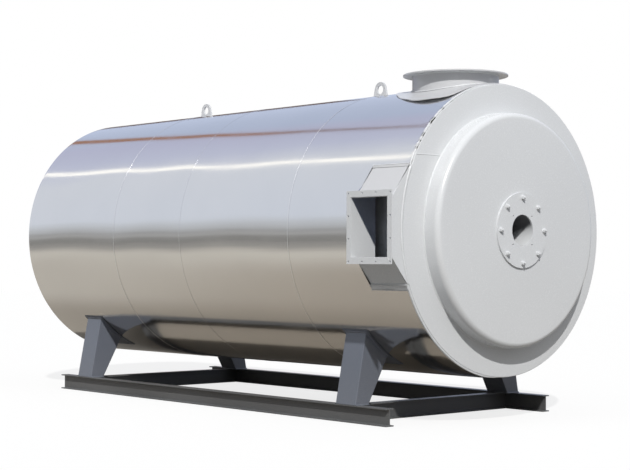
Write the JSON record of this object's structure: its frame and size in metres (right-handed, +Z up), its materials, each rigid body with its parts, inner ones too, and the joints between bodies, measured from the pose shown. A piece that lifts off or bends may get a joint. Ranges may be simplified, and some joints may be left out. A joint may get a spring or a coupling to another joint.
{
  "type": "hot air furnace",
  "caption": "Horizontal hot air furnace: a stainless-clad round body on legs and I-beam rails, with a burner seat in its front head, a flanged side air inlet and a flanged top outlet.",
  "frame": {"origin": "under the middle of the furnace, at the underside of the rails", "axes": "+Z up, +Y along the drum's axis from the burner end to the rear, -X towards the air inlet"},
  "size_m": [2.1398, 4.869, 2.438],
  "materials": {
    "cladding_steel": "polished stainless sheet with rolling marks",
    "body_paint": "light grey satin paint",
    "leg_paint": "blue-grey satin paint",
    "base_paint": "dark grey paint over mill scale",
    "jacket_wool": "mineral wool behind dark sheet",
    "drum_steel": "heat-darkened steel"
  },
  "bodies": {
    "root": {"front_cladding": "cladding_steel", "second_cladding": "cladding_steel", "third_cladding": "cladding_steel", "rear_cladding": "cladding_steel", "front_ring": "body_paint", "front_head": "body_paint", "burner_plate": "body_paint", "rear_ring": "body_paint", "rear_head": "body_paint", "inlet_front_wall": "body_paint", "inlet_rear_wall": "body_paint", "inlet_top_plate": "body_paint", "inlet_bottom_plate": "body_paint", "inlet_flange": "body_paint", "outlet_neck": "body_paint", "outlet_flange": "body_paint", "outlet_collar": "body_paint", "front_lifting_lug": "body_paint", "rear_lifting_lug": "body_paint", "front_left_leg": "leg_paint", "front_left_leg_pad": "leg_paint", "front_right_leg": "leg_paint", "front_right_leg_pad": "leg_paint", "rear_left_leg": "leg_paint", "rear_left_leg_pad": "leg_paint", "rear_right_leg": "leg_paint", "rear_right_leg_pad": "leg_paint", "left_rail": "base_paint", "right_rail": "base_paint", "front_cross_beam": "base_paint", "rear_cross_beam": "base_paint", "top_jacket": "jacket_wool", "left_jacket": "jacket_wool", "right_jacket": "jacket_wool", "bottom_jacket": "jacket_wool", "drum": "drum_steel", "burner_tube": "drum_steel"}
  },
  "joints": []
}
